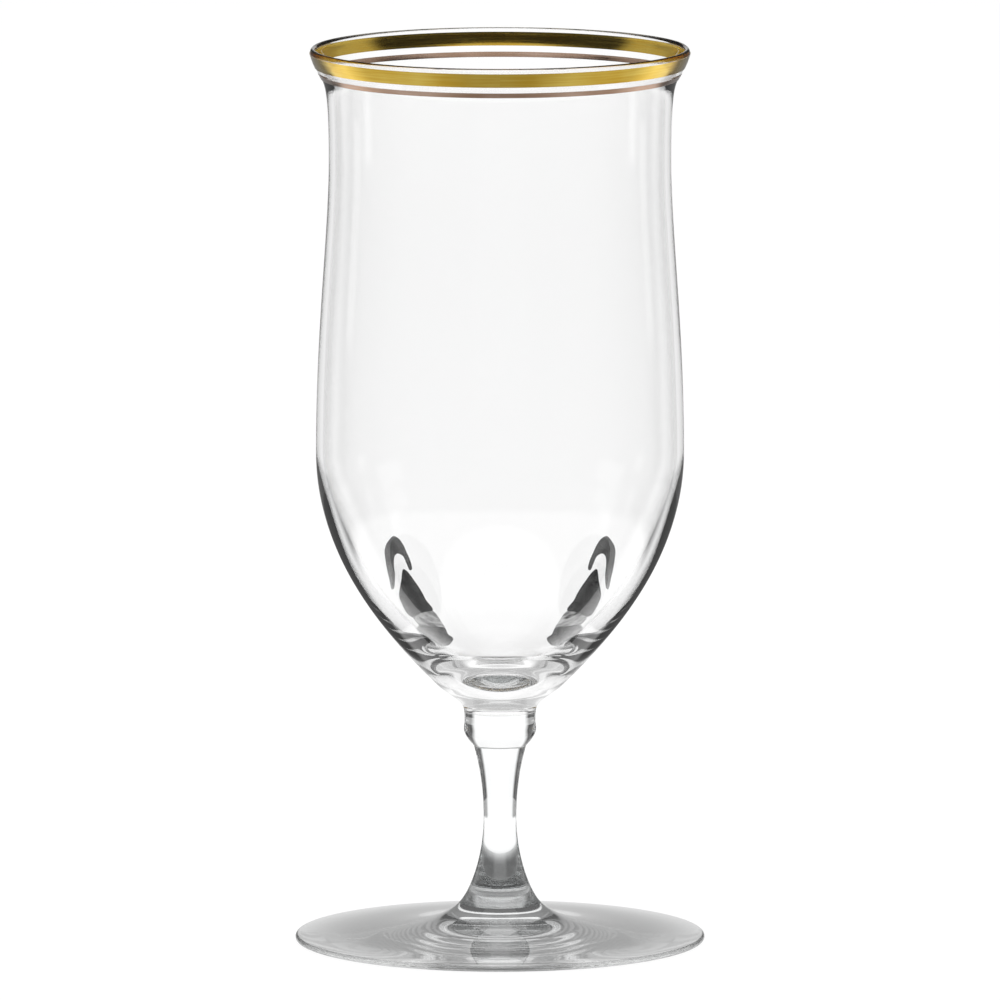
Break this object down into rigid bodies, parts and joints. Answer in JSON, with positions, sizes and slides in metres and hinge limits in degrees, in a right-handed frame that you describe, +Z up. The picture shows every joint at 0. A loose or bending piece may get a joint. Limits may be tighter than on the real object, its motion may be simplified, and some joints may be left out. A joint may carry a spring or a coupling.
{
  "type": "stemmed beer glass",
  "caption": "Clear stemmed beer goblet with a tall waisted bowl, flared lip, knopped short stem, wide thin foot and plain gold bands round the rim.",
  "frame": {"origin": "centre of the foot, on the plane that the glass stands on", "axes": "+Z up along the axis that every piece is turned about; X and Y lie in the plane of the table"},
  "size_m": [0.0822, 0.0822, 0.18],
  "materials": {
    "clear_glass": "clear, fire-polished",
    "fired_gold": "bright fired gold"
  },
  "bodies": {
    "root": {"foot": "clear_glass", "stem": "clear_glass", "collar": "clear_glass", "bowl": "clear_glass", "rim_band": "fired_gold", "rim_line": "fired_gold"}
  },
  "joints": []
}
